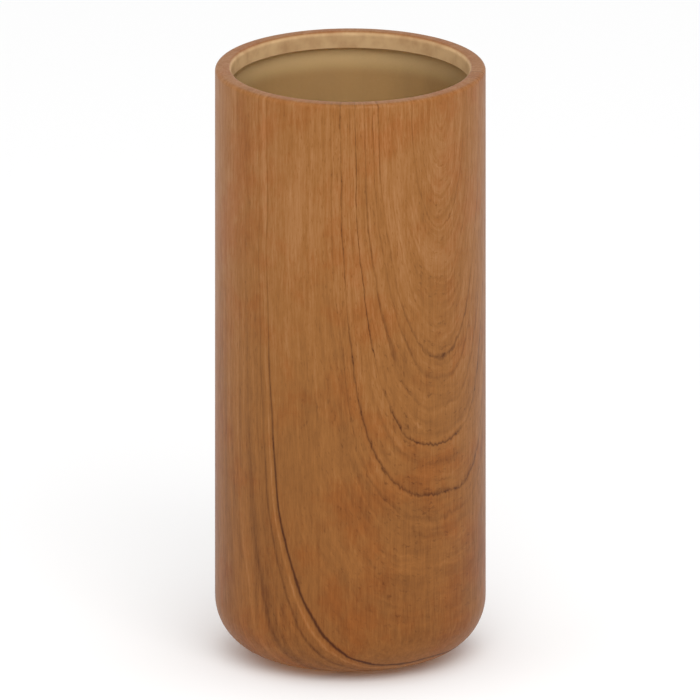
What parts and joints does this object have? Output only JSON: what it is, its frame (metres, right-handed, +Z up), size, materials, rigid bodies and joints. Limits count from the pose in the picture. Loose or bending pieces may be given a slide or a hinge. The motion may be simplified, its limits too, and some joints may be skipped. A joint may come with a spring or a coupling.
{
  "type": "glass cylinder vase",
  "caption": "Straight cylinder vase of thick clear glass with a heavy rounded base, a wood-grain film over its outside and lip, and soft round pads underneath.",
  "frame": {"origin": "centre of the plane that the pads stand on", "axes": "+Z up along the vase's own axis, out of its mouth; -Y is the front, where the grain's arches face a little to the right"},
  "size_m": [0.112, 0.112, 0.252],
  "materials": {
    "clear_glass": "clear, fire-polished",
    "tan_base_coat": "matt tan lacquer",
    "wood_grain_print": "printed wood grain under a satin topcoat",
    "clear_pad": "clear soft silicone"
  },
  "bodies": {
    "root": {"glass_body": "clear_glass", "base_coat": "tan_base_coat", "wood_grain_film": "wood_grain_print", "bumper_pads": "clear_pad"}
  },
  "joints": []
}
